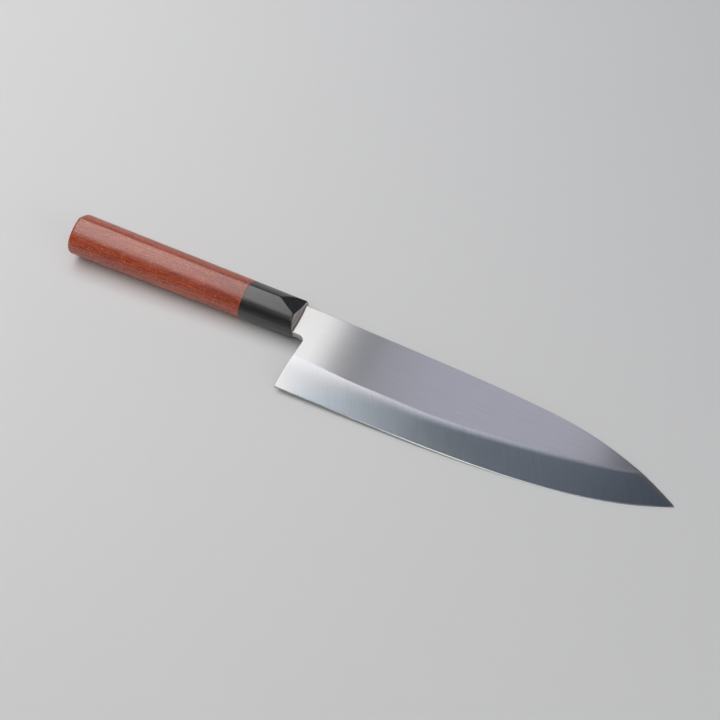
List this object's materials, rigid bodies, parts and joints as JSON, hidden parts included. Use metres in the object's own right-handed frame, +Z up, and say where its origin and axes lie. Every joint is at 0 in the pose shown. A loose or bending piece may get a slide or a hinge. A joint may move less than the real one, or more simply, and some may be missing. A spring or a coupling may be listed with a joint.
{
  "type": "deba knife",
  "caption": "Stout single-bevel kitchen knife with a deep pointed blade, for breaking down fish, set in a ridged D-shaped wooden handle with a black ferrule.",
  "frame": {"origin": "on the surface that the knife lies on, under the middle of its bounding box", "axes": "+X towards the tip, +Y towards the spine, +Z up out of the bevelled side, as the knife lies on its flat back"},
  "size_m": [0.3526, 0.0526, 0.0224],
  "materials": {
    "blade_steel": "satin ground steel, brushed lengthwise on the flat and across on the bevel",
    "black_laminate": "polished black laminated wood, matte brown-grey laminations at the mouth",
    "red_brown_wood": "satin oiled red-brown hardwood with fine lengthwise grain",
    "pale_wood": "plain unfinished pale wood",
    "amber_resin": "cured amber resin"
  },
  "bodies": {
    "root": {"blade": "blade_steel", "ferrule": "black_laminate", "grip": "red_brown_wood", "tang_dowel": "pale_wood", "tang_resin": "amber_resin"}
  },
  "joints": []
}
